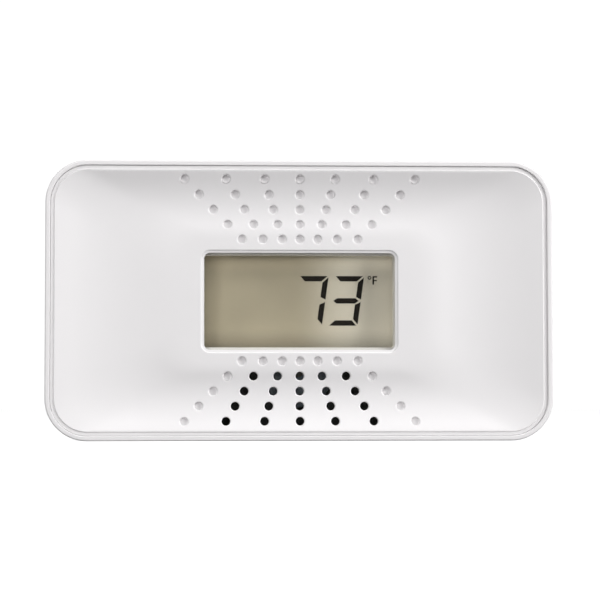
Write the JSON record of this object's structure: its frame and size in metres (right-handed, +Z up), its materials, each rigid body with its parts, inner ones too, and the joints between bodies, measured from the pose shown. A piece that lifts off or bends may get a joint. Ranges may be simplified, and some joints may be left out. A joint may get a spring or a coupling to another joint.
{
  "type": "carbon monoxide detector",
  "caption": "Rounded box carbon monoxide alarm with a dished grille face, reflective digital display, top test button and keyhole back.",
  "frame": {"origin": "bottom centre of the outline, on the surface that the alarm stands on", "axes": "+X to the right seen from the front, +Y from the face to the back, +Z up"},
  "size_m": [0.1504, 0.041, 0.083],
  "materials": {
    "shell_white": "satin moulded",
    "panel_white": "satin moulded",
    "button_white": "satin moulded",
    "clear_lens": "polished",
    "display_glass": "polished",
    "polarizer": "polished",
    "reflector_olive": "satin",
    "segment_dark": "matt",
    "seal_epoxy": "matt",
    "holder_grey": "matt",
    "pin_tin": "bright",
    "board_green": "solder mask",
    "chip_black": "matt",
    "chip_tan": "matt",
    "ferrite_grey": "matt",
    "capacitor_sleeve": "satin",
    "bead_black": "gloss",
    "steel": "zinc",
    "rubber_grey": "matt",
    "duct_black": "matt",
    "sounder_slate": "satin",
    "brass_disc": "satin",
    "ceramic_cream": "matt",
    "sensor_steel": "satin",
    "filter_black": "felt",
    "cell_steel": "satin",
    "sleeve_blue": "shrink film",
    "tab_nickel": "satin",
    "switch_black": "matt",
    "slider_grey": "matt"
  },
  "bodies": {
    "root": {"front_housing": "shell_white", "face_panel": "panel_white", "rear_cover": "shell_white", "rubber_feet": "rubber_grey", "display_lens": "clear_lens", "lcd_front_polarizer": "polarizer", "lcd_front_glass": "display_glass", "lcd_seal": "seal_epoxy", "lcd_digits": "segment_dark", "lcd_rear_glass": "display_glass", "lcd_reflector": "reflector_olive", "lcd_holder": "holder_grey", "lcd_pins": "pin_tin", "main_board": "board_green", "microcontroller": "chip_black", "chip_components": "chip_tan", "step_up_coil": "ferrite_grey", "reservoir_capacitor": "capacitor_sleeve", "thermistor": "bead_black", "board_screws": "steel", "case_screws": "steel", "sound_baffle": "duct_black", "sounder_horn": "sounder_slate", "sounder_base": "duct_black", "sounder_disc": "brass_disc", "sounder_ceramic": "ceramic_cream", "sounder_pins": "pin_tin", "co_sensor_base": "switch_black", "co_sensor_can": "sensor_steel", "co_sensor_filter": "filter_black", "co_sensor_pins": "pin_tin", "battery_cell": "cell_steel", "battery_sleeve": "sleeve_blue", "battery_tabs": "tab_nickel", "battery_cradle": "switch_black", "test_switch_body": "switch_black", "slide_switch_body": "steel"},
    "test_button": {"test_button": "button_white", "test_switch_plunger": "slider_grey"},
    "activation_slider": {"activation_slider": "slider_grey", "slide_switch_lever": "switch_black"}
  },
  "joints": [
    {"name": "test_button_press", "type": "slide", "parent": "root", "child": "test_button", "axis": [0, 0, -1], "range_m": [0, 0.0008], "stiffness_N_per_m": 1500, "springref_m": -0.0005},
    {"name": "activation_slide", "type": "slide", "parent": "root", "child": "activation_slider", "axis": [1, 0, 0], "range_m": [0, 0.004]}
  ]
}
